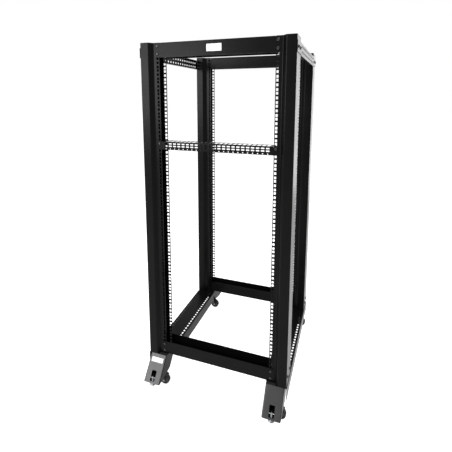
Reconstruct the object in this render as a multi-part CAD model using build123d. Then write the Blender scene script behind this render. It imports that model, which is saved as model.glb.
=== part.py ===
"""Floor-standing open rack: four folded sheet-steel posts with two columns of square holes each,
cross beams and side rails that tie them, a slotted cable bar, and four slanted feet that each
carry a levelling pad and a swivel castor.

Millimetres, +Z up, +X to the right seen from the front, the front towards -Y.
The origin is on the floor in the middle of the rack's outline.
"""
import math
import os

from build123d import *

# Equipment space, from the 19-inch rack standard
RACK_UNIT = 44.45
CLOSE_PITCH = 12.7
OPENING = 450.0
HOLE_COLUMN_SPACING = 465.1
SQUARE_HOLE = 9.5

# Posts: holed flanges, slanted returns, raised faces and an outer web
SHEET = 2.0
FLANGE_WIDTH = 25.0
RETURN_WIDTH = 12.0
FACE_WIDTH = 36.0
FACE_STEP = 16.0
FLANGE_SPAN = 58.0
POST_HEIGHT = 1305.0
LEG_HEIGHT = 138.0
FLANGE_DEPTH = 592.0
FIT = 0.3

# Beams across the front and the rear
BEAM_HEIGHT = 55.0
BEAM_DEPTH = 56.0
BEAM_EAR = 21.0
BEAM_CLEARANCE = 1.0
BEAM_BOLT_PITCH = 28.5

# Side rails
TOP_RAIL_HEIGHT = 44.0
TOP_RAIL_DROP = 16.0
TOP_RAIL_LIP = 14.0
BOTTOM_RAIL_WIDTH = 94.0
BOTTOM_RAIL_LIP = 48.0
SLOT_LENGTH = 12.0
SLOT_WIDTH = 7.0
SLOT_PITCH = 19.0
TOP_SLOT_PITCH = 24.0
SLOT_ROW_SPACING = 18.0
SLOT_ROW_INSET = 13.0

# Cable bar
BAR_HEIGHT = 32.0
BAR_DEPTH = 50.0
BAR_EAR = 16.0
BAR_SHEET = 1.5
BAR_UNIT = 20
BAR_COLUMNS = 23
BAR_PITCH = 18.5
BAR_SLOT_LENGTH = 11.0
BAR_SLOT_HEIGHT = 5.0
BAR_SLOT_ROWS = 9.5
BAR_ROUND_HOLE = 4.0
BAR_SCREW_LIFT = 8.0

# Feet
FOOT_WIDTH = 73.0
FOOT_INSET = 8.0
FOOT_REACH = 70.0
FOOT_DEPTH = 88.0
FOOT_SHEET = 3.0
FOOT_CLEARANCE = 52.0
FOOT_TAB_DEPTH = 26.0
FOOT_SHELF_LIFT = 12.0
FOOT_WINDOW_WIDTH = 21.0
FOOT_WINDOW_HEIGHT = 30.0
FOOT_WINDOW_LIFT = 3.0

# Levelling pads
PAD_DIAMETER = 24.0
PAD_NECK = 14.0
PAD_HEIGHT = 7.0
PAD_GAP = 6.5
STUD_DIAMETER = 8.0
STUD_INSET = 13.0
STUD_RISE = 22.0
NUT_HEIGHT = 6.0
NUT_FLATS = 13.0

# Castors
WHEEL_DIAMETER = 44.0
WHEEL_WIDTH = 20.0
WHEEL_SHOULDER = 3.5
WHEEL_RECESS = 4.0
WHEEL_RIM = 6.0
WHEEL_HUB = 7.0
WHEEL_HUB_SLOPE = 2.0
CASTOR_TRAIL = 24.0
CASTOR_SETBACK = 6.0
CROWN_CLEARANCE = 5.5
RACE_DIAMETER = 38.0
RACE_HEIGHT = 3.0
BEARING_DIAMETER = 32.0
FORK_THICKNESS = 2.5
FORK_GAP = 2.0
FORK_FRONT = 14.0
FORK_BACK = 16.0
FORK_EYE = 8.0
AXLE_DIAMETER = 8.0
AXLE_END = 2.0
AXLE_FIT = 0.1
KING_PIN_DIAMETER = 10.0
KING_NUT_HEIGHT = 8.0
KING_NUT_FLATS = 17.0
BRAKE_WIDTH = 18.0
BRAKE_REACH = 40.0

# Fasteners and labels
BOLT_HEAD = 12.0
BOLT_HEAD_HEIGHT = 3.5
LOW_BOLT_LIFT = 34.0
LABEL_LENGTH = 58.0
LABEL_HEIGHT = 26.0
FOOT_LABEL_LENGTH = 53.0
FOOT_LABEL_HEIGHT = 18.0
FOOT_LABEL_DROP = 22.0
LABEL_THICKNESS = 0.6

# Places that follow from the sizes above
FLANGE_OUTER = OPENING / 2 + FLANGE_WIDTH
FACE_OUTER = FLANGE_OUTER + RETURN_WIDTH + FACE_WIDTH
BODY_DEPTH = FLANGE_DEPTH + 2 * FACE_STEP
OVERALL_DEPTH = BODY_DEPTH + 2 * FOOT_REACH
REAR_FACE = BODY_DEPTH / 2
REAR_FLANGE = REAR_FACE - FACE_STEP
POST_DEPTH = FLANGE_SPAN + 2 * FACE_STEP
POST_BOTTOM = LEG_HEIGHT
POST_TOP = LEG_HEIGHT + POST_HEIGHT
POST_UNITS = int(POST_HEIGHT // RACK_UNIT)
HOLE_X = HOLE_COLUMN_SPACING / 2
HOLES_START = POST_BOTTOM + (POST_HEIGHT - POST_UNITS * RACK_UNIT) / 2
WIDE_PITCH = (RACK_UNIT - CLOSE_PITCH) / 2
RAIL_UNDERSIDE = POST_BOTTOM - SHEET
FOOT_OUTER = FACE_OUTER - FOOT_INSET
FOOT_INNER = FOOT_OUTER - FOOT_WIDTH
FOOT_MIDDLE = (FOOT_OUTER + FOOT_INNER) / 2
FOOT_SLOPE = FOOT_REACH / (RAIL_UNDERSIDE - FOOT_CLEARANCE)
SHELF_BOTTOM = FOOT_CLEARANCE + FOOT_SHELF_LIFT
CROWN_UNDERSIDE = WHEEL_DIAMETER + CROWN_CLEARANCE
CASTOR_Y = REAR_FACE - CASTOR_SETBACK
STUD_Y = REAR_FACE + FOOT_REACH - STUD_INSET
SIDES = {"left": -1, "right": 1}
ENDS = {"front": -1, "rear": 1}


def hole_heights():
    """Centre heights of the square holes, three in each rack unit."""
    heights = []
    for unit in range(POST_UNITS):
        middle = HOLES_START + (unit + 0.5) * RACK_UNIT
        heights += [middle - WIDE_PITCH, middle, middle + WIDE_PITCH]
    return heights


def offset_outline(points, thickness):
    """The points of a bent sheet's other face, thickness to the left of the first face."""
    shifted = []
    for index, point in enumerate(points):
        normals = []
        for first, second in ((index - 1, index), (index, index + 1)):
            if first < 0 or second >= len(points):
                continue
            along = (points[second][0] - points[first][0], points[second][1] - points[first][1])
            length = math.hypot(*along)
            normals.append((-along[1] / length, along[0] / length))
        if len(normals) == 1:
            shift = (normals[0][0] * thickness, normals[0][1] * thickness)
        else:
            total = (normals[0][0] + normals[1][0], normals[0][1] + normals[1][1])
            scale = 2 * thickness / (total[0] ** 2 + total[1] ** 2)
            shift = (total[0] * scale, total[1] * scale)
        shifted.append((point[0] + shift[0], point[1] + shift[1]))
    return shifted


def sheet_face(points, thickness, plane=Plane.XY):
    """A bent sheet's section as a face: the points are one of its faces."""
    outline = points + offset_outline(points, thickness)[::-1]
    return plane * make_face(Polyline(*outline, close=True))


def box_between(low, high):
    """A box from its lowest to its highest corner."""
    size = [high[axis] - low[axis] for axis in range(3)]
    middle = [(high[axis] + low[axis]) / 2 for axis in range(3)]
    return Pos(*middle) * Box(*size)


def placed(shape, end, side):
    """The shape as modelled for the rear right corner, mirrored to another corner."""
    turned = shape if end > 0 else shape.mirror(Plane.XZ)
    return turned if side > 0 else turned.mirror(Plane.YZ)


def cut_all(shape, tools):
    """The shape with all tools cut away in one step."""
    return shape.cut(*tools)


def bent_sheet(section, height):
    """A section in the XY plane, extruded upwards from the post's foot."""
    return extrude(Pos(0, 0, POST_BOTTOM) * section, amount=height)


def save(shape, name):
    """One node's file."""
    os.makedirs("parts", exist_ok=True)
    export_step(shape, f"parts/{name}.step")


def post():
    """The rear right post: two holed flanges, slanted returns, raised faces and an outer web."""
    opening = OPENING / 2
    face_inner = FACE_OUTER - FACE_WIDTH
    near_flange = REAR_FLANGE - FLANGE_SPAN
    near_face = near_flange - FACE_STEP
    points = [
        (opening, near_flange),
        (FLANGE_OUTER, near_flange),
        (face_inner, near_face),
        (FACE_OUTER, near_face),
        (FACE_OUTER, REAR_FACE),
        (face_inner, REAR_FACE),
        (FLANGE_OUTER, REAR_FLANGE),
        (opening, REAR_FLANGE),
    ]
    body = bent_sheet(sheet_face(points, SHEET), POST_HEIGHT)
    tools = []
    for flange in (near_flange, REAR_FLANGE):
        for height in hole_heights():
            tools.append(Pos(HOLE_X, flange, height) * Box(SQUARE_HOLE, 3 * SHEET, SQUARE_HOLE))
    return cut_all(body, tools)


def make_corners(shape, name):
    """The same piece at the four corners."""
    for end, end_sign in ENDS.items():
        for side, side_sign in SIDES.items():
            save(placed(shape, end_sign, side_sign), f"{name}_{end}_{side}")


def beam_bolt_heights(low):
    """Heights of the two bolts at each end of a beam whose lower edge is at low."""
    middle = low + BEAM_HEIGHT / 2
    return [middle - BEAM_BOLT_PITCH / 2, middle + BEAM_BOLT_PITCH / 2]


def beam(low, opens_up):
    """A rear beam: a channel with its outer wall lapped over the posts' flanges."""
    high = low + BEAM_HEIGHT
    half = OPENING / 2 - BEAM_CLEARANCE
    ear = OPENING / 2 + BEAM_EAR
    back = REAR_FLANGE - BEAM_DEPTH
    outer_wall = box_between((-ear, REAR_FLANGE, low), (ear, REAR_FLANGE + SHEET, high))
    web_low = low if opens_up else high - SHEET
    web = box_between((-half, back, web_low), (half, REAR_FLANGE, web_low + SHEET))
    inner_wall = box_between((-half, back, low), (half, back + SHEET, high))
    return outer_wall + web + inner_wall


def make_beams():
    """The same channel at the top and bottom, front and rear."""
    places = {"bottom": (POST_BOTTOM + FIT, True), "top": (POST_TOP - BEAM_HEIGHT - FIT, False)}
    for level, (low, opens_up) in places.items():
        for end, sign in ENDS.items():
            save(placed(beam(low, opens_up), sign, 1), f"beam_{level}_{end}")


def slot_places(pitch):
    """Evenly spaced slot centres between the posts."""
    half = BODY_DEPTH / 2 - POST_DEPTH
    count = int((2 * half - SLOT_LENGTH) // pitch) + 1
    return [(index - (count - 1) / 2) * pitch for index in range(count)]


def top_rail():
    """The right-hand top rail: a channel outside the posts with two rows of slots."""
    high = POST_TOP - TOP_RAIL_DROP
    low = high - TOP_RAIL_HEIGHT
    inner = FACE_OUTER
    outer = FACE_OUTER + SHEET
    end = REAR_FACE - FIT
    lip_end = REAR_FACE - POST_DEPTH - FIT
    web = box_between((inner, -end, low), (outer, end, high))
    lip_low = box_between((inner - TOP_RAIL_LIP, -lip_end, low), (inner, lip_end, low + SHEET))
    lip_high = box_between((inner - TOP_RAIL_LIP, -lip_end, high - SHEET), (inner, lip_end, high))
    tools = []
    for row in (-0.5, 0.5):
        height = (low + high) / 2 + row * SLOT_ROW_SPACING
        for place in slot_places(TOP_SLOT_PITCH):
            tools.append(Pos(inner, place, height) * Box(3 * SHEET, SLOT_LENGTH, SLOT_WIDTH))
    return cut_all(web + lip_low + lip_high, tools)


def bottom_rail():
    """The right-hand bottom rail: a channel open downwards that the posts stand on."""
    outer = FACE_OUTER + SHEET
    inner = outer - BOTTOM_RAIL_WIDTH
    low = POST_BOTTOM - BOTTOM_RAIL_LIP
    plate = box_between((inner, -REAR_FACE, RAIL_UNDERSIDE), (outer, REAR_FACE, POST_BOTTOM))
    outer_lip = box_between((FACE_OUTER, -REAR_FACE, low), (outer, REAR_FACE, RAIL_UNDERSIDE))
    lip_end = REAR_FACE - POST_DEPTH
    inner_lip = box_between((inner, -lip_end, low), (inner + SHEET, lip_end, RAIL_UNDERSIDE))
    tools = []
    for row in (inner + SLOT_ROW_INSET, outer - SLOT_ROW_INSET):
        for place in slot_places(SLOT_PITCH):
            tools.append(Pos(row, place, POST_BOTTOM) * Box(SLOT_WIDTH, SLOT_LENGTH, 6 * SHEET))
    return cut_all(plate + outer_lip + inner_lip, tools)


def make_rails():
    """Side rails at the top and bottom."""
    for level, rail in (("top", top_rail()), ("bottom", bottom_rail())):
        for side, sign in SIDES.items():
            save(placed(rail, 1, sign), f"rail_{level}_{side}")


def bar_screw_height():
    """Height of the cable bar's screws: the middle hole of one rack unit."""
    return HOLES_START + (BAR_UNIT + 0.5) * RACK_UNIT


def bar_bottom():
    """Lower edge of the cable bar's face."""
    return bar_screw_height() - BAR_SCREW_LIFT - BAR_HEIGHT / 2


def make_cable_bar():
    """A slotted angle bolted across the front flanges."""
    low = bar_bottom()
    high = low + BAR_HEIGHT
    flange = -REAR_FLANGE
    front = flange - BAR_SHEET
    half = OPENING / 2 - BEAM_CLEARANCE
    ear = OPENING / 2 + BAR_EAR
    face = box_between((-ear, front, low), (ear, flange, high))
    shelf = box_between((-half, flange, high - BAR_SHEET), (half, front + BAR_DEPTH, high))
    slot = Box(BAR_SLOT_LENGTH, 3 * BAR_SHEET, BAR_SLOT_HEIGHT)
    shelf_slot = Box(BAR_SLOT_LENGTH, BAR_DEPTH / 2, 3 * BAR_SHEET)
    drill = Rot(90, 0, 0) * Cylinder(BAR_ROUND_HOLE / 2, 3 * BAR_SHEET)
    tools = []
    for column in range(BAR_COLUMNS):
        x = (column - (BAR_COLUMNS - 1) / 2) * BAR_PITCH
        for row in (1, 2):
            tools.append(Pos(x, front, high - row * BAR_SLOT_ROWS + BAR_SHEET) * slot)
        tools.append(Pos(x, front + BAR_DEPTH / 2, high) * shelf_slot)
        tools.append(Pos(x, front, low + BAR_ROUND_HOLE) * drill)
    save(cut_all(face + shelf, tools), "cable_bar")


def foot_face(height):
    """Y of the slanted face of a rear foot at a height."""
    return REAR_FACE + (RAIL_UNDERSIDE - height) * FOOT_SLOPE


def foot_prism(points, start, width):
    """A section in Y and Z, extruded along X from start."""
    upright = Plane((start, 0, 0), x_dir=(0, 1, 0), z_dir=(1, 0, 0))
    return extrude(upright * make_face(Polyline(*points, close=True)), amount=width)


def trail_prism(points, half_width, thickness):
    """A section in X and Z, extruded towards the middle plane from Y = half_width."""
    upright = Plane((0, half_width, 0), x_dir=(1, 0, 0), z_dir=(0, -1, 0))
    return extrude(upright * make_face(Polyline(*points, close=True)), amount=thickness)


def foot():
    """The rear right foot: slanted plate, two walls, a top tab, a castor shelf and a stud tab."""
    top, low = RAIL_UNDERSIDE, FOOT_CLEARANCE
    top_y, low_y = foot_face(top), foot_face(low)
    plate_depth = FOOT_SHEET * math.hypot(1, FOOT_SLOPE)
    wall_points = [(top_y, top), (top_y - FOOT_DEPTH, top), (low_y - FOOT_DEPTH, low), (low_y, low)]
    plate_points = [(top_y, top), (top_y - plate_depth, top), (low_y - plate_depth, low), (low_y, low)]
    body = foot_prism(plate_points, FOOT_INNER, FOOT_WIDTH)
    body += foot_prism(wall_points, FOOT_INNER, FOOT_SHEET)
    body += foot_prism(wall_points, FOOT_OUTER - FOOT_SHEET, FOOT_SHEET)
    shelf_y = foot_face(SHELF_BOTTOM + FOOT_SHEET)
    tabs = (
        (top - FOOT_SHEET, top_y - FOOT_DEPTH, top_y - plate_depth / 2),
        (SHELF_BOTTOM, shelf_y - FOOT_DEPTH + plate_depth, shelf_y - plate_depth / 2),
        (low, low_y - FOOT_TAB_DEPTH, low_y - plate_depth),
    )
    for height, near, far in tabs:
        body += box_between((FOOT_INNER, near, height), (FOOT_OUTER, far, height + FOOT_SHEET))
    window_low = low + FOOT_SHEET + FOOT_WINDOW_LIFT
    window_high = window_low + FOOT_WINDOW_HEIGHT
    window_points = [
        (foot_face(window_high) + FOOT_SHEET, window_high),
        (foot_face(window_high) - 2 * plate_depth, window_high),
        (foot_face(window_low) - 2 * plate_depth, window_low),
        (foot_face(window_low) + FOOT_SHEET, window_low),
    ]
    window = foot_prism(window_points, FOOT_MIDDLE - FOOT_WINDOW_WIDTH / 2, FOOT_WINDOW_WIDTH)
    stud_way = Pos(FOOT_MIDDLE, STUD_Y, low) * Cylinder(STUD_DIAMETER / 2 + FIT, 2 * STUD_RISE)
    pin_hole = Cylinder(KING_PIN_DIAMETER / 2 + FIT, 4 * FOOT_SHEET)
    return cut_all(body, [window, stud_way, Pos(FOOT_MIDDLE, CASTOR_Y, SHELF_BOTTOM) * pin_hole])


def hex_nut(flats, height, bore):
    """A hexagon nut that stands on the XY plane."""
    prism = extrude(RegularPolygon(flats / 2, 6, major_radius=False), amount=height)
    return prism - Pos(0, 0, height / 2) * Cylinder(bore / 2, 2 * height)


def leveller():
    """The rear right levelling pad, screwed up so that its stud's end shows in the foot's window."""
    high = FOOT_CLEARANCE - PAD_GAP
    pad = Pos(0, 0, high - PAD_HEIGHT / 2) * Cone(PAD_DIAMETER / 2, PAD_NECK / 2, PAD_HEIGHT)
    end = FOOT_CLEARANCE + STUD_RISE
    stud = Pos(0, 0, (high + end) / 2) * Cylinder(STUD_DIAMETER / 2, end - high)
    return Pos(FOOT_MIDDLE, STUD_Y, 0) * (pad + stud)


def level_nut():
    """The nut under a foot's stud tab."""
    nut = hex_nut(NUT_FLATS, NUT_HEIGHT, STUD_DIAMETER + 2 * FIT)
    return Pos(FOOT_MIDDLE, STUD_Y, FOOT_CLEARANCE - NUT_HEIGHT) * nut


def make_feet():
    """Feet, levelling pads and their nuts."""
    make_corners(foot(), "foot")
    make_corners(leveller(), "leveller")
    make_corners(level_nut(), "level_nut")


def castor_at(shape, end, side):
    """A castor's piece, modelled about its king pin with the trail along +X, at its corner."""
    return Pos(side * FOOT_MIDDLE, end * CASTOR_Y, 0) * shape


def castor_pin():
    """Upper race under the foot's shelf with the king pin through it and a nut on top."""
    race = Pos(0, 0, SHELF_BOTTOM - RACE_HEIGHT / 2) * Cylinder(RACE_DIAMETER / 2, RACE_HEIGHT)
    nut_low = SHELF_BOTTOM + FOOT_SHEET
    top = nut_low + KING_NUT_HEIGHT + AXLE_END
    nut = Pos(0, 0, nut_low) * hex_nut(KING_NUT_FLATS, KING_NUT_HEIGHT, KING_PIN_DIAMETER / 2)
    low = CROWN_UNDERSIDE
    pin = Pos(0, 0, (low + top) / 2) * Cylinder(KING_PIN_DIAMETER / 2, top - low)
    return race + nut + pin


def castor_fork():
    """Swivel fork: bearing drum, crown, two legs and the axle, with its trail along +X."""
    top = SHELF_BOTTOM - RACE_HEIGHT - FIT
    crown_top = CROWN_UNDERSIDE + FORK_THICKNESS
    drum = Pos(0, 0, (top + crown_top) / 2) * Cylinder(BEARING_DIAMETER / 2, top - crown_top)
    gap = WHEEL_WIDTH / 2 + FORK_GAP
    half = gap + FORK_THICKNESS
    crown = box_between((-FORK_FRONT, -half, CROWN_UNDERSIDE), (FORK_BACK, half, crown_top))
    axle_z = WHEEL_DIAMETER / 2
    leg_points = [
        (-FORK_FRONT, crown_top),
        (FORK_BACK, crown_top),
        (CASTOR_TRAIL + FORK_EYE, axle_z + FORK_EYE / 2),
        (CASTOR_TRAIL + FORK_EYE / 2, axle_z - FORK_EYE),
        (CASTOR_TRAIL - FORK_EYE / 2, axle_z - FORK_EYE),
        (CASTOR_TRAIL - FORK_EYE, axle_z),
    ]
    leg = trail_prism(leg_points, half, FORK_THICKNESS)
    turn = Pos(CASTOR_TRAIL, 0, axle_z) * Rot(90, 0, 0)
    axle = turn * Cylinder(AXLE_DIAMETER / 2, 2 * (half + AXLE_END))
    bore = Pos(0, 0, crown_top) * Cylinder(KING_PIN_DIAMETER / 2 + AXLE_FIT, 2 * BEARING_DIAMETER)
    return cut_all(drum + crown + leg + leg.mirror(Plane.XZ), [bore]) + axle


def castor_wheel():
    """A wheel with sloped shoulders and a recessed disc, about its axle."""
    radius = WHEEL_DIAMETER / 2
    half = WHEEL_WIDTH / 2
    inner = half - WHEEL_RECESS
    rim = radius - WHEEL_RIM
    bore = AXLE_DIAMETER / 2 + AXLE_FIT
    side = [
        (bore, half),
        (WHEEL_HUB, half),
        (WHEEL_HUB + WHEEL_HUB_SLOPE, inner),
        (rim - WHEEL_HUB_SLOPE, inner),
        (rim, half),
        (radius - WHEEL_SHOULDER, half),
        (radius, half - WHEEL_SHOULDER),
    ]
    profile = side + [(x, -z) for x, z in side[::-1]]
    section = Plane.XZ * make_face(Polyline(*profile, close=True))
    wheel = Rot(90, 0, 0) * revolve(section, Axis.Z, 360)
    return Pos(CASTOR_TRAIL, 0, radius) * wheel


def brake_lever():
    """A front castor's brake lever: a sloped tab from the fork's crown over the wheel."""
    high = CROWN_UNDERSIDE
    low = WHEEL_DIAMETER
    points = [
        (FORK_BACK, high),
        (FORK_BACK, high + FORK_THICKNESS),
        (FORK_BACK + FORK_THICKNESS, high + FORK_THICKNESS),
        (BRAKE_REACH, low),
        (BRAKE_REACH, low - FORK_THICKNESS),
    ]
    return trail_prism(points, BRAKE_WIDTH / 2, BRAKE_WIDTH)


def make_castors():
    """Four castors that all trail the same way, the front pair with brake levers."""
    for end, end_sign in ENDS.items():
        for side, side_sign in SIDES.items():
            corner = f"{end}_{side}"
            save(castor_at(castor_pin(), end_sign, side_sign), f"castor_pin_{corner}")
            fork = castor_fork()
            if end == "front":
                fork += brake_lever()
            save(castor_at(fork, end_sign, side_sign), f"castor_fork_{corner}")
            save(castor_at(castor_wheel(), end_sign, side_sign), f"castor_wheel_{corner}")


def bolt_head(size):
    """A low round bolt head that stands on the XY plane."""
    return Pos(0, 0, BOLT_HEAD_HEIGHT / 2) * Cylinder(size / 2, BOLT_HEAD_HEIGHT)


def make_bolts():
    """Bolt heads of the beams, the rails and the cable bar."""
    beam_lows = [POST_BOTTOM + FIT, POST_TOP - BEAM_HEIGHT - FIT]
    for end, sign in ENDS.items():
        turn = Rot(-90 * sign, 0, 0) * bolt_head(BOLT_HEAD)
        heads = []
        for low in beam_lows:
            for height in beam_bolt_heights(low):
                for side in (-1, 1):
                    heads.append(Pos(side * HOLE_X, sign * (REAR_FLANGE + SHEET), height) * turn)
        save(Compound(children=heads), f"beam_bolts_{end}")
    levels = (
        (POST_TOP - TOP_RAIL_DROP - TOP_RAIL_HEIGHT / 2, FACE_OUTER + SHEET),
        (POST_BOTTOM + LOW_BOLT_LIFT, FACE_OUTER),
    )
    for side, sign in SIDES.items():
        turn = Rot(0, 90 * sign, 0) * bolt_head(BOLT_HEAD)
        heads = []
        for height, outer in levels:
            for end in (-1, 1):
                for step in (-0.5, 0.5):
                    y = end * (REAR_FACE - POST_DEPTH / 2) + step * POST_DEPTH / 2
                    heads.append(Pos(sign * outer, y, height) * turn)
        save(Compound(children=heads), f"rail_bolts_{side}")
    turn = Rot(90, 0, 0) * bolt_head(BOLT_HEAD)
    heads = [Pos(side * HOLE_X, -REAR_FLANGE - BAR_SHEET, bar_screw_height()) * turn for side in (-1, 1)]
    save(Compound(children=heads), "bar_screws")


def make_labels():
    """Bare labels on the top beam and on the left front foot."""
    middle = POST_TOP - FIT - BEAM_HEIGHT / 2
    wall = -REAR_FLANGE - SHEET
    plate = box_between(
        (-LABEL_LENGTH / 2, wall - LABEL_THICKNESS, middle - LABEL_HEIGHT / 2),
        (LABEL_LENGTH / 2, wall, middle + LABEL_HEIGHT / 2),
    )
    save(plate, "label_top_beam")
    along = math.hypot(1, FOOT_SLOPE)
    high = RAIL_UNDERSIDE - (FOOT_LABEL_DROP - FOOT_LABEL_HEIGHT / 2) / along
    low = high - FOOT_LABEL_HEIGHT / along
    out = LABEL_THICKNESS * along
    points = [
        (foot_face(high), high),
        (foot_face(low), low),
        (foot_face(low) + out, low),
        (foot_face(high) + out, high),
    ]
    label = foot_prism(points, FOOT_MIDDLE - FOOT_LABEL_LENGTH / 2, FOOT_LABEL_LENGTH)
    save(placed(label, -1, -1), "label_foot")


make_corners(post(), "post")
make_beams()
make_rails()
make_cable_bar()
make_feet()
make_castors()
make_bolts()
make_labels()
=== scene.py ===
import math

import bmesh
import bpy
from mathutils import Matrix, Vector


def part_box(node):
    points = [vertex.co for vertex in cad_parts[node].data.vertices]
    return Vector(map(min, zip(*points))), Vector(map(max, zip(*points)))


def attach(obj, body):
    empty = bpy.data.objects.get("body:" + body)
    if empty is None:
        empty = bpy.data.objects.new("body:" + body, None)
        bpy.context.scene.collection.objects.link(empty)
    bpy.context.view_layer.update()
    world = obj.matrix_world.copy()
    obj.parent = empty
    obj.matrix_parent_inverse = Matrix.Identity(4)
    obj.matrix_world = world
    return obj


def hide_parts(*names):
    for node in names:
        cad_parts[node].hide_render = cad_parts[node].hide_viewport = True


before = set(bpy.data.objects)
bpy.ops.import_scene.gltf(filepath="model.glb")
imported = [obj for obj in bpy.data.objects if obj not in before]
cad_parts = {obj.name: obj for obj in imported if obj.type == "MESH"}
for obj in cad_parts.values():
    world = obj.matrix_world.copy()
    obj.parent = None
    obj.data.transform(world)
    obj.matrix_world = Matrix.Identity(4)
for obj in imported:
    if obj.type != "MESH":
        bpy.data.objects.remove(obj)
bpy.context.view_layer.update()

# Everything below is in metres; sizes are written in millimetres.
MM = 0.001
TOUCH = 0.01 * MM  # places nearer than this count as one
QUARTER_TURN = math.radians(90)

# Where a piece is repeated in mirror image: the end of its name, and its factors of x and y
SIDES = {"left": -1, "right": 1}
ENDS = {"front": -1, "rear": 1}
BOTH_SIDES = {side: (x, 1) for side, x in SIDES.items()}
BOTH_ENDS = {end: (1, y) for end, y in ENDS.items()}
CORNERS = {f"{end}_{side}": (x, y) for end, y in ENDS.items() for side, x in SIDES.items()}

# Folded sheet
SHEET = 2 * MM
BEND = 3.2 * MM
BEND_STEPS = 4
SHARP = math.radians(35)

# The square holes of a 19-inch rack
RACK_UNIT = 44.45 * MM
WIDE_PITCH = 15.875 * MM
SQUARE_HOLE = 9.5 * MM
HOLE_X = 232.55 * MM

# The slots of the side rails, and how far inside their cells they lie
SLOT_LENGTH = 12 * MM
SLOT_WIDTH = 7 * MM
SLOT_CORNER = 2 * MM
SLOT_RIM = 0.8 * MM

# The shelf in each foot that its castor hangs from
SHELF_LOW = 64 * MM
SHELF_HIGH = 67 * MM


# ---------------------------------------------------------------- finishes

# Most of a noise pattern's values lie between these.
NOISE_RANGE = (0.3, 0.7)
# Powder coat has a grain of about 0.3 mm; it is drawn coarser so that it shows at this size.
PEEL_GRAIN = 2.4 * MM


def linear(code):
    """A colour written as sRGB hex, as the linear values that a socket takes."""
    values = []
    for start in (1, 3, 5):
        c = int(code[start:start + 2], 16) / 255
        values.append(c / 12.92 if c <= 0.04045 else ((c + 0.055) / 1.055) ** 2.4)
    return (*values, 1.0)


def add_node(tree, kind, values=None, links=None, **settings):
    """A node with its settings, its sockets' values and its incoming links."""
    node = tree.nodes.new(kind)
    for name, value in settings.items():
        setattr(node, name, value)
    for name, value in (values or {}).items():
        node.inputs[name].default_value = value
    for name, output in (links or {}).items():
        tree.links.new(output, node.inputs[name])
    return node


def new_finish(name, constants=None):
    """An empty material with its output and Principled shader."""
    material = bpy.data.materials.new(name)
    material.use_nodes = True
    tree = material.node_tree
    tree.nodes.clear()
    shader = add_node(tree, "ShaderNodeBsdfPrincipled", constants)
    add_node(tree, "ShaderNodeOutputMaterial", links={"Surface": shader.outputs["BSDF"]})
    return material, tree, shader


def noise(tree, **sockets):
    """A cloudy pattern on the object's own coordinates. Its scale is in spots per metre."""
    place = add_node(tree, "ShaderNodeTexCoord").outputs["Object"]
    return add_node(tree, "ShaderNodeTexNoise", sockets, {"Vector": place}).outputs["Fac"]


def tint(tree, shader, pattern, dark, light, reach=NOISE_RANGE):
    """Takes the base colour from one tone to the other along a pattern."""
    node = add_node(tree, "ShaderNodeValToRGB", links={"Fac": pattern})
    for element, place, code in zip(node.color_ramp.elements, reach, (dark, light)):
        element.position = place
        element.color = linear(code)
    tree.links.new(node.outputs["Color"], shader.inputs["Base Color"])


def roughen(tree, shader, pattern, smooth, rough, reach=(0.0, 1.0)):
    """Takes the roughness from one value to the other along a pattern."""
    values = {"From Min": reach[0], "From Max": reach[1], "To Min": smooth, "To Max": rough}
    node = add_node(tree, "ShaderNodeMapRange", values, {"Value": pattern})
    tree.links.new(node.outputs["Result"], shader.inputs["Roughness"])


def emboss(tree, shader, pattern, strength, depth):
    """Gives the surface a fine relief along a pattern."""
    values = {"Strength": strength, "Distance": depth}
    node = add_node(tree, "ShaderNodeBump", values, {"Height": pattern})
    tree.links.new(node.outputs["Normal"], shader.inputs["Normal"])


def textured_coat(name, dark, light, roughness, specular, depth):
    """Powder coat baked on steel: cured grains give a fine orange peel that breaks up reflections,
    and the film's thickness varies a little, so the black is never one value."""
    material, tree, shader = new_finish(name, {"IOR": 1.5, "Specular IOR Level": specular})
    cloud = noise(tree, Scale=9.0, Detail=5.0, Roughness=0.6)
    peel = noise(tree, Scale=1 / PEEL_GRAIN, Detail=3.0, Roughness=0.65)
    cloud_share, peel_share, roughness_drift = 0.55, 0.45, 0.05
    grains = add_node(
        tree, "ShaderNodeMath", {1: peel_share}, {0: peel}, operation="MULTIPLY",
    ).outputs[0]
    both = add_node(
        tree, "ShaderNodeMath", {1: cloud_share}, {0: cloud, 2: grains}, operation="MULTIPLY_ADD",
    ).outputs[0]
    tint(tree, shader, both, dark, light)
    roughen(
        tree, shader, both, roughness - roughness_drift, roughness + roughness_drift, NOISE_RANGE,
    )
    emboss(tree, shader, peel, strength=0.35, depth=depth)
    return material


def mottled(
    name, dark, light, scale, detail, reach=NOISE_RANGE, rough=None, relief=None, constants=None,
):
    """A finish whose tone drifts along a noise. So does its roughness where rough gives its two
    values, and it stands in relief where relief gives a strength and a depth."""
    material, tree, shader = new_finish(name, constants)
    pattern = noise(tree, Scale=scale, Detail=detail)
    tint(tree, shader, pattern, dark, light, reach)
    if rough:
        roughen(tree, shader, pattern, *rough)
    if relief:
        emboss(tree, shader, pattern, *relief)
    return material


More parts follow.
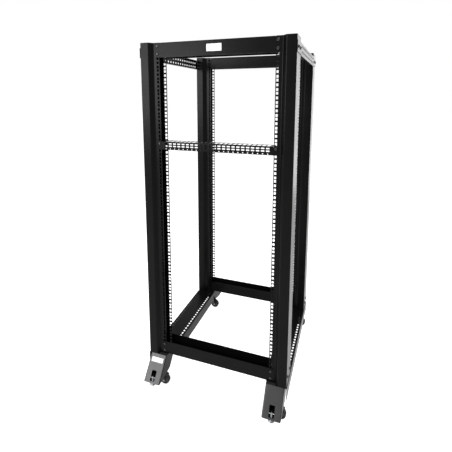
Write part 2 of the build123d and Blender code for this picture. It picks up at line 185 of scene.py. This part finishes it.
FINISHES = {
    "powder_coat": textured_coat(
        "powder_coated_steel", "#070707", "#0d0d0c", roughness=0.3, specular=0.06, depth=0.2 * MM,
    ),
    # The same black powder coat, but with a grey base for the feet's slanted plates and top tabs.
    # The grey is painted sheen that stands in for the light these upturned plates reflect. Their
    # higher specular also reflects real light.
    "foot_coat": textured_coat(
        "powder_coated_foot_with_painted_sheen", "#1f1f20", "#29292a", roughness=0.38, specular=0.38, depth=0.3 * MM,
    ),
    # Blackened steel: dark and slightly oily, so that the screws' domes keep a small clear glint
    "bolt_steel": mottled(
        "black_oxide_steel", "#08080a", "#101012", scale=260.0, detail=3.0,
        constants={"Roughness": 0.24, "Specular IOR Level": 0.4},
    ),
    # Bright zinc plating: a bluish grey metal with faint clouds where the passivate is thicker
    "zinc": mottled(
        "zinc_plated_steel", "#6a6e71", "#8e9193", scale=140.0, detail=4.0, reach=(0.35, 0.65),
        rough=(0.38, 0.52), constants={"Metallic": 1.0},
    ),
    # Black thermoplastic rubber tyre: matt, with the mould's fine spark texture
    "tyre": mottled(
        "moulded_rubber", "#111112", "#1c1c1c", scale=900.0, detail=3.0, relief=(0.3, 0.3 * MM),
        constants={"Roughness": 0.68, "Specular IOR Level": 0.35},
    ),
    # Black polypropylene wheel centre: smoother than the tyre, with a soft sheen on its edges
    "wheel": mottled(
        "moulded_polypropylene", "#0f0f10", "#18181a", scale=120.0, detail=2.0, rough=(0.36, 0.48),
    ),
    # Bare white vinyl: matt, a little warm, with the faint mottling of its liner
    "label": mottled(
        "white_vinyl_label", "#deded9", "#eeeeea", scale=220.0, detail=3.0,
        constants={"Roughness": 0.55},
    ),
}


# ---------------------------------------------------------------- shaping

# Turn a section's own plane and pull into the rack's directions
PULLED_ALONG_X = Matrix(((0, 0, 1, 0), (1, 0, 0, 0), (0, 1, 0, 0), (0, 0, 0, 1)))
PULLED_ALONG_Y = Matrix(((0, 1, 0, 0), (0, 0, 1, 0), (1, 0, 0, 0), (0, 0, 0, 1)))


def in_mm(*points):
    """Points written in millimetres, in metres."""
    return [tuple(value * MM for value in point) for point in points]


def around(places, size):
    """Two stations at each place, a size apart."""
    return [place + half for place in places for half in (-size / 2, size / 2)]


def spread(count, pitch):
    """Evenly spaced places about the middle."""
    return [(index - (count - 1) / 2) * pitch for index in range(count)]


def near_any(value, places, reach):
    """Whether a value lies within reach of one of the places."""
    return any(abs(value - place) < reach for place in places)


def turn_over(bm, matrix):
    """Places a mesh; a mirrored one has its faces turned outwards again."""
    bmesh.ops.transform(bm, matrix=matrix, verts=bm.verts)
    if matrix.determinant() < 0:
        bmesh.ops.reverse_faces(bm, faces=bm.faces)
    return bm


def make_piece(bm, name, body, finish, nodes=()):
    """The finished mesh as a piece of the rack that rides on a body and stands for its nodes."""
    mesh = bpy.data.meshes.new(name)
    bm.to_mesh(mesh)
    bm.free()
    mesh.shade_smooth()
    mesh.set_sharp_from_angle(angle=SHARP)
    mesh.materials.append(FINISHES[finish])
    piece = bpy.data.objects.new(name, mesh)
    bpy.context.scene.collection.objects.link(piece)
    piece.modifiers.new("flat_faces_stay_flat", "WEIGHTED_NORMAL").keep_sharp = True
    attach(piece, body)
    if nodes:
        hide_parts(*nodes)


def mirrored(bm, factors):
    """A copy of a mesh, its x and y multiplied by these factors of 1 or -1."""
    return turn_over(bm.copy(), Matrix.Diagonal((*factors, 1, 1)))


def make_mirrored(bm, piece, node, mirrors):
    """A folded sheet of the frame at each of its mirrored places, standing for the node there."""
    for name, factors in mirrors.items():
        make_piece(
            mirrored(bm, factors), f"{piece}_{name}", "frame", "powder_coat",
            nodes=[f"{node}_{name}"],
        )
    bm.free()


def over(node):
    """A shift from the origin to the middle of a node's box, seen from above."""
    low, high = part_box(node)
    return Matrix.Translation(((low.x + high.x) / 2, (low.y + high.y) / 2, 0))


def rounded(bm, corners, radius, segments, affect="VERTICES"):
    """Gives corners or edges an arc of this radius."""
    bmesh.ops.bevel(
        bm, geom=corners, offset=radius, offset_type="OFFSET", affect=affect, segments=segments,
        profile=0.5, material=-1,
    )


def folded(section, bends, stations, radius=BEND):
    """A sheet's outer face: its section in the XY plane with rounded bends, pulled up through the
    stations. The faces look to the right of the section's direction."""
    bm = bmesh.new()
    wire = [bm.verts.new((u, v, stations[0])) for u, v in section]
    for first, second in zip(wire, wire[1:]):
        bm.edges.new((first, second))
    outward = Vector((section[1][1] - section[0][1], section[0][0] - section[1][0], 0))
    rounded(bm, [wire[i] for i in bends], radius, BEND_STEPS)
    edges = bm.edges[:]
    for near, far in zip(stations, stations[1:]):
        pulled = bmesh.ops.extrude_edge_only(bm, edges=edges)["geom"]
        tops = {part for part in pulled if isinstance(part, bmesh.types.BMVert)}
        edges = [
            part for part in pulled
            if isinstance(part, bmesh.types.BMEdge) and tops.issuperset(part.verts)
        ]
        bmesh.ops.translate(bm, verts=list(tops), vec=(0, 0, far - near))
    bmesh.ops.recalc_face_normals(bm, faces=bm.faces)
    if wire[0].link_faces[0].normal.dot(outward) < 0:
        bmesh.ops.reverse_faces(bm, faces=bm.faces)
    return bm


def faces_where(bm, inside):
    """The faces whose middle satisfies a test."""
    return [face for face in bm.faces if inside(face.calc_center_median())]


def take_out(bm, faces):
    """Deletes faces, with the edges and corners that nothing else needs."""
    bmesh.ops.delete(bm, geom=faces, context="FACES")


def round_holes(bm, faces, margin, radius):
    """Punches a hole with rounded corners into each of these cells, a margin inside its edges."""
    bmesh.ops.inset_individual(bm, faces=faces, thickness=margin)
    middles = [face.calc_center_median() for face in faces]
    rounded(bm, list({vert for face in faces for vert in face.verts}), radius, segments=2)
    same = 5 * TOUCH
    take_out(bm, faces_where(bm, lambda c: any((c - middle).length < same for middle in middles)))


def punch(bm, cells, margin, radius):
    """Punches one hole with rounded corners into cells that lie side by side."""
    round_holes(bm, bmesh.ops.dissolve_faces(bm, faces=cells)["region"], margin, radius)


def thicken(bm, thickness):
    """Gives the outer face of a sheet its thickness inwards."""
    bmesh.ops.solidify(bm, geom=bm.faces[:], thickness=thickness)
    return bm


def turned(profile, steps=32, closed=False, hexagon=()):
    """A profile of radii and heights turned about Z. Radii named in hexagon become a hexagon with
    that distance from the axis to its flats."""
    bm = bmesh.new()
    wire = [bm.verts.new((radius, 0, height)) for radius, height in profile]
    pairs = list(zip(wire, wire[1:])) + ([(wire[-1], wire[0])] if closed else [])
    edges = [bm.edges.new(pair) for pair in pairs]
    bmesh.ops.spin(
        bm, geom=wire + edges, cent=(0, 0, 0), axis=(0, 0, 1), angle=math.tau, steps=steps,
        use_merge=True,
    )
    bmesh.ops.remove_doubles(bm, verts=bm.verts, dist=2 * TOUCH)
    sixth, half_sixth = math.pi / 3, math.pi / 6
    for vert in bm.verts:
        if near_any(math.hypot(vert.co.x, vert.co.y), hexagon, 0.1 * TOUCH):
            off_flat = (math.atan2(vert.co.y, vert.co.x) + half_sixth) % sixth - half_sixth
            vert.co.x /= math.cos(off_flat)
            vert.co.y /= math.cos(off_flat)
    bmesh.ops.recalc_face_normals(bm, faces=bm.faces)
    return bm


def joined(*parts):
    """Several meshes as one."""
    bm = bmesh.new()
    for part in parts:
        mesh = bpy.data.meshes.new("part")
        part.to_mesh(mesh)
        part.free()
        bm.from_mesh(mesh)
        bpy.data.meshes.remove(mesh)
    return bm


def soft_box(low, high, radius=0.6 * MM):
    """A small cut plate with broken edges."""
    bm = bmesh.new()
    bmesh.ops.create_cube(bm, size=1)
    size, middle = Vector(high) - Vector(low), (Vector(high) + Vector(low)) / 2
    turn_over(bm, Matrix.Translation(middle) @ Matrix.Diagonal((*size, 1)))
    rounded(bm, bm.edges[:], radius, segments=2, affect="EDGES")
    return bm


# ---------------------------------------------------------------- posts


def hole_heights(low, high):
    """Middles of the square holes, three in each rack unit."""
    units = int((high - low) // RACK_UNIT)
    start = low + (high - low - units * RACK_UNIT) / 2
    return [
        start + (unit + 0.5) * RACK_UNIT + step * WIDE_PITCH
        for unit in range(units) for step in (-1, 0, 1)
    ]


def make_posts():
    """Folded posts: two holed flanges, slanted returns, raised faces and an outer web."""
    low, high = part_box("post_rear_right")
    face_step, face_width, flange_width = 16 * MM, 36 * MM, 25 * MM
    face_inner, flange_outer = high.x - face_width, low.x + flange_width
    near, far = low.y + face_step, high.y - face_step
    hole = (HOLE_X - SQUARE_HOLE / 2, HOLE_X + SQUARE_HOLE / 2)
    section = [
        (low.x, near), (hole[0], near), (hole[1], near), (flange_outer, near),
        (face_inner, low.y), (high.x, low.y), (high.x, high.y), (face_inner, high.y),
        (flange_outer, far), (hole[1], far), (hole[0], far), (low.x, far),
    ]
    heights = hole_heights(low.z, high.z)
    stations = sorted([low.z, high.z] + around(heights, SQUARE_HOLE))
    bm = folded(section, [3, 4, 5, 6, 7, 8], stations)
    take_out(bm, faces_where(bm, lambda c: hole[0] < c.x < hole[1] and near_any(
        c.z, heights, SQUARE_HOLE / 4)))
    thicken(bm, SHEET)
    make_mirrored(bm, "post_sheet", "post", CORNERS)


# ---------------------------------------------------------------- beams and rails


def make_beams():
    """Channels across the front and rear, their outer walls lapped over the flanges."""
    ear = 22 * MM
    for level in ("bottom", "top"):
        low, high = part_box(f"beam_{level}_rear")
        half = high.x - ear
        inner, outer = low.y, high.y
        if level == "bottom":
            section = [(inner, high.z), (inner, low.z), (outer, low.z), (outer, high.z)]
        else:
            section = [(outer, low.z), (outer, high.z), (inner, high.z), (inner, low.z)]
        bm = folded(section, [1, 2], [-high.x, -half, half, high.x])
        # Beyond the channel only the outer wall goes on, as an ear on each flange.
        take_out(bm, faces_where(bm, lambda c: abs(c.z) > half and c.x < outer - TOUCH))
        turn_over(bm, PULLED_ALONG_X)
        thicken(bm, SHEET)
        make_mirrored(bm, f"beam_channel_{level}", f"beam_{level}", BOTH_ENDS)


def finish_rail(bm, level, rows, slots, axis):
    """Punches a rail's slots, in rows across this axis of its section, and makes both rails."""
    cells = faces_where(bm, lambda c: near_any(c[axis], rows, SLOT_WIDTH / 4) and near_any(
        c.z, slots, SLOT_LENGTH / 4))
    round_holes(bm, cells, SLOT_RIM, SLOT_CORNER)
    turn_over(bm, PULLED_ALONG_Y)
    thicken(bm, SHEET)
    make_mirrored(bm, f"rail_channel_{level}", f"rail_{level}", BOTH_SIDES)


def make_top_rails():
    """Channels outside the posts, with two rows of slots and lips between the posts."""
    low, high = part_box("rail_top_right")
    lip_end, row_offset = 221.7 * MM, 9 * MM
    slots = spread(count=18, pitch=24 * MM)
    middle = (low.z + high.z) / 2
    rows = [middle + row_offset, middle - row_offset]
    edges = sorted(around(rows, SLOT_WIDTH + 2 * SLOT_RIM), reverse=True)
    section = [(high.z, low.x), (high.z, high.x), *[(edge, high.x) for edge in edges]]
    section += [(low.z, high.x), (low.z, low.x)]
    stations = [-high.y, -lip_end, lip_end, high.y] + around(slots, SLOT_LENGTH + 2 * SLOT_RIM)
    bm = folded(section, [1, 6], sorted(stations))
    take_out(bm, faces_where(bm, lambda c: abs(c.z) > lip_end and c.y < high.x - TOUCH))
    finish_rail(bm, "top", rows, slots, axis=0)


def make_bottom_rails():
    """Channels open downwards that the posts stand on, with two rows of slots in the plate."""
    low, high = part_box("rail_bottom_right")
    lip_end, beam_wall, flange_plane = 222 * MM, 241 * MM, 298 * MM
    face_edge, row_inset = 255 * MM, 13 * MM
    slots = spread(count=23, pitch=19 * MM)
    rows = [low.x + row_inset, high.x - row_inset]
    edges = sorted([face_edge] + around(rows, SLOT_WIDTH + 2 * SLOT_RIM))
    section = [(low.z, low.x), (high.z, low.x), *[(high.z, edge) for edge in edges]]
    section += [(high.z, high.x), (low.z, high.x)]
    stations = around(slots, SLOT_LENGTH + 2 * SLOT_RIM)
    for place in (lip_end, beam_wall, flange_plane, high.y):
        stations += [-place, place]
    bm = folded(section, [1, 7], sorted(stations))
    # The lip ends at the feet, and under the beams the plate is no wider than a foot.
    take_out(bm, faces_where(bm, lambda c: abs(c.z) > lip_end and c.y < low.x + TOUCH))
    take_out(bm, faces_where(bm, lambda c: abs(c.z) > beam_wall and c.y < rows[0] - SLOT_WIDTH / 2))
    # Beyond the flanges it ends beside the posts' faces, and the foot's own top tab shows.
    take_out(bm, faces_where(bm, lambda c: abs(c.z) > flange_plane and c.y < face_edge))
    finish_rail(bm, "bottom", rows, slots, axis=1)


def make_cable_bar():
    """A slotted angle across the front flanges, its shelf reaching into the rack."""
    low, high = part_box("cable_bar")
    sheet, bend, rim, ear = 1.5 * MM, 2.4 * MM, 0.6 * MM, 17 * MM
    slot_height, slot_length, slot_corner = 5 * MM, 12.5 * MM, 1.2 * MM
    hole, hole_corner = 4 * MM, 1.3 * MM
    columns = spread(count=23, pitch=18.5 * MM)
    slot_rows, hole_row = (high.z - 8 * MM, high.z - 17.5 * MM), low.z + 4 * MM
    shelf, shelf_length = (low.y + 5 * MM, low.y + 48 * MM), 14.5 * MM
    half = high.x - ear
    heights = around(slot_rows, slot_height + 2 * rim) + around([hole_row], hole + 2 * rim)
    section = [(high.y, high.z), (shelf[1] + rim, high.z), (shelf[0] - rim, high.z)]
    section += [(low.y, height) for height in sorted([*heights, low.z, high.z], reverse=True)]
    stations = [-high.x, -half, half, high.x]
    for length in (slot_length, hole, shelf_length):
        stations += around(columns, length + 2 * rim)
    bm = folded(section, [3], sorted(stations), radius=bend)
    take_out(bm, faces_where(bm, lambda c: abs(c.z) > half and c.x > low.y + TOUCH))

    near = 1 * MM
    cells = faces_where(bm, lambda c: abs(c.y - hole_row) < near and near_any(c.z, columns, near))
    round_holes(bm, cells, rim, hole_corner)
    for row in (*slot_rows, None):
        for column in columns:
            reach = (slot_length if row else shelf_length) / 2 + rim
            cells = faces_where(bm, lambda c: abs(c.z - column) < reach and (
                abs(c.y - row) < near if row else shelf[0] < c.x < shelf[1]))
            punch(bm, cells, rim, slot_corner)
    turn_over(bm, PULLED_ALONG_X)
    thicken(bm, sheet)
    make_piece(bm, "cable_bar_angle", "frame", "powder_coat", nodes=["cable_bar"])


# ---------------------------------------------------------------- feet and levelling pads


def make_feet():
    """Folded feet: a slanted plate with a window between two deep walls, and tabs inside."""
    low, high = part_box("foot_rear_right")
    sheet, bend, reach, wall_cut = 3 * MM, 4.5 * MM, 70 * MM, 52 * MM
    rim, window_corner, half_window = 1 * MM, 2 * MM, 10.5 * MM
    window_low, window_high = 58 * MM, 88 * MM
    shelf_start, tab_depth = 60 * MM, 26 * MM
    top_gap, shelf_gap, tab_gap = 1 * MM, 5.5 * MM, 3.5 * MM
    front_normal = 0.35
    drop, shelf_drop = high.z - low.z, high.z - SHELF_LOW
    slope = reach / drop
    top_face = high.y - reach
    middle = (low.x + high.x) / 2
    # Heights are drops from the top here, until the plate is slanted.
    window = (high.z - window_high - rim, high.z - window_low + rim)
    section = [
        (high.x, low.y), (high.x, top_face), (middle + half_window + rim, top_face),
        (middle - half_window - rim, top_face), (low.x, top_face), (low.x, low.y),
    ]
    bm = folded(section, [1, 4], sorted([0, *window, shelf_drop, drop]), radius=bend)
    # Below the castor's shelf the walls are cut back, clear of the turning fork.
    for vert in bm.verts:
        if vert.co.z > shelf_drop + 1 * MM and vert.co.y < low.y + TOUCH:
            vert.co.y += wall_cut * (vert.co.z - shelf_drop) / (drop - shelf_drop)
    cells = faces_where(bm, lambda c: abs(c.x - middle) < 1 * MM and window[0] < c.z < window[1])
    punch(bm, cells, rim, window_corner)
    turn_over(bm, Matrix(((1, 0, 0, 0), (0, 1, slope, 0), (0, 0, -1, high.z), (0, 0, 0, 1))))
    thicken(bm, sheet)

    def face_at(height):
        """Where the slanted plate's outer side is at a height."""
        return top_face + (high.z - height) * slope

    def is_front(face):
        """Whether a face belongs to the slanted plate's outer side."""
        centre = face.calc_center_median()
        return face.normal.y > front_normal and centre.y > face_at(centre.z) - sheet / 2

    inner, outer = low.x + sheet / 2, high.x - sheet / 2
    top_tab = soft_box((inner, low.y, high.z - sheet), (outer, top_face - top_gap, high.z))
    shelf = soft_box(
        (inner, low.y + shelf_start, SHELF_LOW),
        (outer, face_at(SHELF_HIGH) - shelf_gap, SHELF_HIGH),
    )
    stud_tab = soft_box(
        (inner, high.y - tab_depth, low.z), (outer, high.y - tab_gap, low.z + sheet),
    )
    walls = joined(bm.copy(), shelf, stud_tab)
    take_out(walls, [face for face in walls.faces if is_front(face)])
    take_out(bm, [face for face in bm.faces if not is_front(face)])
    # The slanted plate and top tab take the grey coat, whose base is painted sheen. The walls and
    # inner tabs keep the plain black coat.
    plate = joined(bm, top_tab)
    for name, factors in CORNERS.items():
        make_piece(
            mirrored(plate, factors), f"foot_plate_{name}", "frame", "foot_coat",
            nodes=[f"foot_{name}"],
        )
        make_piece(mirrored(walls, factors), f"foot_walls_{name}", "frame", "powder_coat")
    plate.free()
    walls.free()


def hex_nut(flats, height, bore):
    """A chamfered hexagon nut that stands on the XY plane."""
    flat, bevelled, mouth = flats / 2, 0.97 * flats / 2, bore + 0.5 * MM
    bevel, countersink = 0.14 * height, 0.08 * height
    profile = [
        (bore, countersink), (mouth, 0), (bevelled, 0), (flat, bevel), (flat, height - bevel),
        (bevelled, height), (mouth, height), (bore, height - countersink),
    ]
    return turned(profile, steps=36, closed=True, hexagon=[flat])


def threaded_stud(radius, pitch, low, high):
    """A stud with a rolled thread: a core with a chamfered end, and the thread wound about it."""
    root, steps = radius - 0.6 * pitch, 20
    foot, chamfer, point, bare_end = root - 0.1 * MM, 1 * MM, root - 0.8 * MM, 2 * MM
    core = turned([
        (0, low), (root, low), (root, high - chamfer), (point, high), (0, high),
    ], steps=24)
    turns = int((high - low - bare_end) / pitch)
    thread = bmesh.new()
    wire = [thread.verts.new(co) for co in (
        (foot, 0, low), (radius, 0, low + pitch / 2), (foot, 0, low + pitch),
    )]
    edges = [thread.edges.new(pair) for pair in zip(wire, wire[1:])]
    bmesh.ops.spin(
        thread, geom=wire + edges, cent=(0, 0, 0), axis=(0, 0, 1), dvec=(0, 0, pitch / steps),
        angle=math.tau * turns, steps=steps * turns, use_merge=False,
    )
    bmesh.ops.remove_doubles(thread, verts=thread.verts, dist=TOUCH)
    bmesh.ops.recalc_face_normals(thread, faces=thread.faces)
    if sum(face.normal.x * face.calc_center_median().x for face in thread.faces) < 0:
        bmesh.ops.reverse_faces(thread, faces=thread.faces)
    return joined(core, thread)


# A levelling pad's radii and heights above its own base
PAD = in_mm((0, 0), (11, 0), (12, 0.8), (12, 2), (11.2, 2.8), (7.6, 6.2), (7, 7), (0, 7))


def make_levellers():
    """Pads on threaded studs, screwed up under the feet, with their nuts."""
    stud_start = 6 * MM
    for name in CORNERS:
        place = over(f"leveller_{name}")
        low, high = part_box(f"leveller_{name}")
        pad = turned([(radius, low.z + height) for radius, height in PAD], steps=40)
        stud = threaded_stud(radius=4 * MM, pitch=1.25 * MM, low=low.z + stud_start, high=high.z)
        make_piece(
            turn_over(joined(pad, stud), place), f"levelling_pad_{name}", f"leveller_{name}",
            "zinc", nodes=[f"leveller_{name}"],
        )
        low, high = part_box(f"level_nut_{name}")
        nut = hex_nut(flats=13 * MM, height=high.z - low.z, bore=4.2 * MM)
        make_piece(
            turn_over(nut, place @ Matrix.Translation((0, 0, low.z))), f"levelling_nut_{name}",
            "frame", "bolt_steel", nodes=[f"level_nut_{name}"],
        )


# ---------------------------------------------------------------- castors

# Radii and heights about the king pin, above the floor
RACE = in_mm((0, 61), (17.5, 61), (19, 61.8), (19, 63.4), (18.4, 64), (0, 64))
KING_PIN = in_mm((0, 49.5), (4.6, 49.5), (5, 50), (5, 76), (4.3, 77), (0, 77))
BEARING = in_mm(
    (5.4, 52), (16, 52), (16, 54.6), (15, 55.4), (15, 57.6), (16, 58.4), (16, 60.2), (15.4, 60.7),
    (5.4, 60.7),
)
# Radii about the axle and distances from the wheel's middle; the wheel's are one half
AXLE = in_mm((0, -16.5), (3.2, -16.5), (4, -15.8), (4, 15.8), (3.2, 16.5), (0, 16.5))
TYRE = in_mm(
    (16, 9), (16.4, 9.8), (18.2, 9.8), (19.8, 9.2), (21.2, 7.8), (21.9, 5.6), (22, 2.5),
)
WHEEL_CENTRE = in_mm(
    (4.2, 9.6), (4.7, 10), (6.6, 10), (7.2, 9.4), (8.6, 6), (13.2, 6), (14.8, 9.4), (16.1, 9.6),
)
# Distances from the king pin along the trail and heights: the lever's section, the lines that
# the fork's cheeks are cut along, and a point inside them
BRAKE_LEVER = in_mm((52.2, 13), (52.2, 18.5), (44.4, 38), (42.2, 40))
FORK_CUTS = [
    in_mm((-14, 47), (20, 14)), in_mm((28, 14), (32, 26)), in_mm((32, 26), (17, 52)),
]
FORK_INSIDE = 10 * MM, 40 * MM


def fork_sheet():
    """A castor's pressed fork about its king pin, its trail along +X."""
    section = in_mm((14.5, 14), (14.5, 52), (-14.5, 52), (-14.5, 14))
    bm = folded(section, [1, 2], [-14 * MM, 32 * MM], radius=3 * MM)
    turn_over(bm, PULLED_ALONG_X)
    first = bm.faces[:][0]
    if first.normal.y * first.calc_center_median().y < 0:
        bmesh.ops.reverse_faces(bm, faces=bm.faces)
    for (x0, z0), (x1, z1) in FORK_CUTS:
        across = Vector((z1 - z0, 0, x0 - x1))
        if across.dot(Vector((FORK_INSIDE[0] - x0, 0, FORK_INSIDE[1] - z0))) > 0:
            across.negate()
        bmesh.ops.bisect_plane(
            bm, geom=bm.verts[:] + bm.edges[:] + bm.faces[:], dist=0.1 * TOUCH,
            plane_co=(x0, 0, z0), plane_no=across, clear_outer=True,
        )
    return thicken(bm, thickness=2.5 * MM)


def brake_lever():
    """A bent pedal behind the fork."""
    lever = folded(BRAKE_LEVER, [1, 2], [-9 * MM, 9 * MM], radius=1.6 * MM)
    return thicken(turn_over(lever, PULLED_ALONG_Y), thickness=2 * MM)


def wheel_ring(profile):
    """A ring of the wheel about its axle along Y, from half of its profile."""
    whole = profile + [(radius, -height) for radius, height in profile[::-1]]
    bm = turned(whole, steps=48, closed=True)
    return turn_over(bm, Matrix.Rotation(QUARTER_TURN, 4, "X"))


def make_castors():
    """Swivel castors: race and king pin under the foot, bearing, pressed fork, axle and wheel."""
    trail, axle_height = 24 * MM, 22 * MM
    for name in CORNERS:
        fork, wheel = f"fork_{name}", f"wheel_{name}"
        pin = over(f"castor_pin_{name}")
        axle_at = pin @ Matrix.Translation((trail, 0, axle_height))
        make_piece(
            turn_over(turned(RACE, steps=48), pin), f"castor_race_{name}", "frame", "bolt_steel",
            nodes=[f"castor_pin_{name}"],
        )
        nut = hex_nut(flats=17 * MM, height=8 * MM, bore=4.9 * MM)
        turn_over(nut, Matrix.Translation((0, 0, SHELF_HIGH)))
        king_pin = joined(turned(KING_PIN, steps=24), nut)
        make_piece(turn_over(king_pin, pin), f"castor_king_pin_{name}", "frame", "bolt_steel")
        make_piece(
            turn_over(fork_sheet(), pin), f"castor_fork_sheet_{name}", fork, "bolt_steel",
            nodes=[f"castor_fork_{name}"],
        )
        bearing = turned(BEARING, steps=48, closed=True)
        make_piece(turn_over(bearing, pin), f"castor_bearing_{name}", fork, "bolt_steel")
        across = axle_at @ Matrix.Rotation(QUARTER_TURN, 4, "X")
        make_piece(turn_over(turned(AXLE, steps=28), across), f"castor_axle_{name}", fork, "zinc")
        if name.startswith("front"):
            lever = turn_over(brake_lever(), pin)
            make_piece(lever, f"castor_brake_{name}", fork, "bolt_steel")
        make_piece(
            turn_over(wheel_ring(TYRE), axle_at), f"castor_tyre_{name}", wheel, "tyre",
            nodes=[f"castor_wheel_{name}"],
        )
        centre = turn_over(wheel_ring(WHEEL_CENTRE), axle_at)
        make_piece(centre, f"castor_centre_{name}", wheel, "wheel")


# ---------------------------------------------------------------- fasteners and labels


def button_head():
    """A low domed socket screw's head, 12 mm across, that stands on the XY plane."""
    socket_mouth, socket_floor = 2.6, 2.55
    profile = in_mm(
        (6, 0), (6, 0.9), (5.7, 1.7), (5.0, 2.5), (4.1, 3.1), (3.3, 3.4), (socket_mouth, 3.4),
        (socket_floor, 1.4), (0, 1.0),
    )
    return turned(profile, steps=36, hexagon=[socket_mouth * MM, socket_floor * MM])


def make_screws(name, node, places, turn):
    """Socket screws at these places, turned to face their way, as one piece."""
    heads = [turn_over(button_head(), Matrix.Translation(place) @ turn) for place in places]
    make_piece(joined(*heads), f"socket_screws_{name}", "frame", "bolt_steel", nodes=[node])


def make_bolts():
    """Socket screws of the beams, the rails and the cable bar, where their CAD heads are."""
    beam_bolt_spacing, bottom_rail_bolts = 28.5 * MM, 172 * MM
    rail_bolt_depths = (244.5 * MM, 289.5 * MM)

    heights = []
    for level in ("bottom", "top"):
        low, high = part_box(f"beam_{level}_rear")
        heights += around([(low.z + high.z) / 2], beam_bolt_spacing)
    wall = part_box("beam_top_rear")[1].y
    for end, sign in ENDS.items():
        places = [(side * HOLE_X, sign * wall, height) for height in heights for side in (-1, 1)]
        turn = Matrix.Rotation(-sign * QUARTER_TURN, 4, "X")
        make_screws(end, f"beam_bolts_{end}", places, turn)

    low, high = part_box("rail_top_right")
    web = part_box("post_rear_right")[1].x
    levels = [((low.z + high.z) / 2, high.x), (bottom_rail_bolts, web)]
    for side, sign in SIDES.items():
        places = [
            (sign * outer, end * depth, height)
            for height, outer in levels for end in (-1, 1) for depth in rail_bolt_depths
        ]
        turn = Matrix.Rotation(sign * QUARTER_TURN, 4, "Y")
        make_screws(side, f"rail_bolts_{side}", places, turn)

    low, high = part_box("bar_screws")
    places = [(side * HOLE_X, high.y, (low.z + high.z) / 2) for side in (-1, 1)]
    make_screws("bar", "bar_screws", places, Matrix.Rotation(QUARTER_TURN, 4, "X"))


def finish_labels():
    """The bare labels keep their CAD shape and get their vinyl."""
    for node in ("label_top_beam", "label_foot"):
        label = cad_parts[node]
        for slot in label.material_slots:
            slot.material = FINISHES["label"]
        if not label.material_slots:
            label.data.materials.append(FINISHES["label"])


make_posts()
make_beams()
make_top_rails()
make_bottom_rails()
make_cable_bar()
make_feet()
make_levellers()
make_castors()
make_bolts()
finish_labels()


# ---------------------------------------------------------------- floor, light and camera

WHITE = (1, 1, 1, 1)
FLOOR_REACH = 30
# What is added to the floor where it is seen, and the world's strength where it isn't
FLOOR_LIFT = 0.85
WORLD_FILL = 0.45

# Name, place, the point it looks at, width and height, power in watts
SOFTBOXES = [
    ("key_softbox", (-1.35, -2.25, 1.45), (-0.1, -0.2, 0.5), 1.1, 1.1, 55),
    ("top_softbox", (0.6, -0.4, 3.2), (0, 0, 0.6), 2.2, 2.2, 60),
    ("rear_softbox", (0.95, 3.1, 1.25), (0.3, 0, 0.9), 1.1, 2.6, 19),
]

# The photo's viewpoint: angles in degrees, shift in widths of the frame
CAMERA_PLACE = (0.4708, -1.5198, 1.2318)
CAMERA_DOWN, CAMERA_TURN = 8.707, 19.945
CAMERA_LENS, CAMERA_SENSOR = 28.095, 36
CAMERA_SHIFT = (0.0110, -0.1618)


def seen_directly(tree):
    """1 for what the camera, reflections and see-through surfaces show, 0 for the light itself."""
    path = add_node(tree, "ShaderNodeLightPath")
    seen = path.outputs["Is Camera Ray"]
    for ray in ("Is Glossy Ray", "Is Transmission Ray"):
        links = {0: seen, 1: path.outputs[ray]}
        seen = add_node(tree, "ShaderNodeMath", links=links, operation="MAXIMUM").outputs[0]
    return seen


def make_floor():
    """A plain pale floor. The camera and reflections see it lifted to white, with its shadows."""
    bm = bmesh.new()
    bmesh.ops.create_grid(bm, x_segments=1, y_segments=1, size=FLOOR_REACH)
    mesh = bpy.data.meshes.new("studio_floor")
    bm.to_mesh(mesh)
    bm.free()
    floor = bpy.data.objects.new("studio_floor", mesh)
    bpy.context.scene.collection.objects.link(floor)
    material = bpy.data.materials.new("pale_studio_floor")
    material.use_nodes = True
    tree = material.node_tree
    tree.nodes.clear()
    lift = add_node(
        tree, "ShaderNodeMath", {1: FLOOR_LIFT}, {0: seen_directly(tree)}, operation="MULTIPLY",
    )
    paint = add_node(tree, "ShaderNodeBsdfDiffuse", {"Color": linear("#e6e6e6")})
    glow = add_node(tree, "ShaderNodeEmission", {"Color": WHITE}, {"Strength": lift.outputs[0]})
    both = add_node(tree, "ShaderNodeAddShader", links={0: paint.outputs[0], 1: glow.outputs[0]})
    add_node(tree, "ShaderNodeOutputMaterial", links={"Surface": both.outputs[0]})
    mesh.materials.append(material)


def make_world():
    """White surroundings for the camera and reflections, and a softer fill for the light itself."""
    world = bpy.data.worlds.new("studio")
    bpy.context.scene.world = world
    world.use_nodes = True
    tree = world.node_tree
    tree.nodes.clear()
    values = {"To Min": WORLD_FILL, "To Max": 1.0}
    strength = add_node(tree, "ShaderNodeMapRange", values, {"Value": seen_directly(tree)})
    links = {"Strength": strength.outputs["Result"]}
    sky = add_node(tree, "ShaderNodeBackground", {"Color": WHITE}, links)
    add_node(tree, "ShaderNodeOutputWorld", links={"Surface": sky.outputs[0]})


def add_softbox(name, place, target, width, height, power):
    """A rectangular lamp that looks at a point."""
    data = bpy.data.lights.new(name, "AREA")
    data.shape = "RECTANGLE"
    data.size = width
    data.size_y = height
    data.energy = power
    lamp = bpy.data.objects.new(name, data)
    lamp.location = place
    lamp.rotation_euler = (Vector(target) - Vector(place)).to_track_quat("-Z", "Y").to_euler()
    bpy.context.scene.collection.objects.link(lamp)


def add_camera():
    """The camera at the photo's viewpoint."""
    data = bpy.data.cameras.new("photo_camera")
    data.sensor_fit = "HORIZONTAL"
    data.sensor_width = CAMERA_SENSOR
    data.lens = CAMERA_LENS
    data.shift_x, data.shift_y = CAMERA_SHIFT
    camera = bpy.data.objects.new("photo_camera", data)
    camera.location = CAMERA_PLACE
    camera.rotation_euler = (math.radians(90 - CAMERA_DOWN), 0, math.radians(CAMERA_TURN))
    bpy.context.scene.collection.objects.link(camera)
    bpy.context.scene.camera = camera


make_floor()
make_world()
for softbox in SOFTBOXES:
    add_softbox(*softbox)
add_camera()
bpy.context.scene.view_settings.view_transform = "Standard"
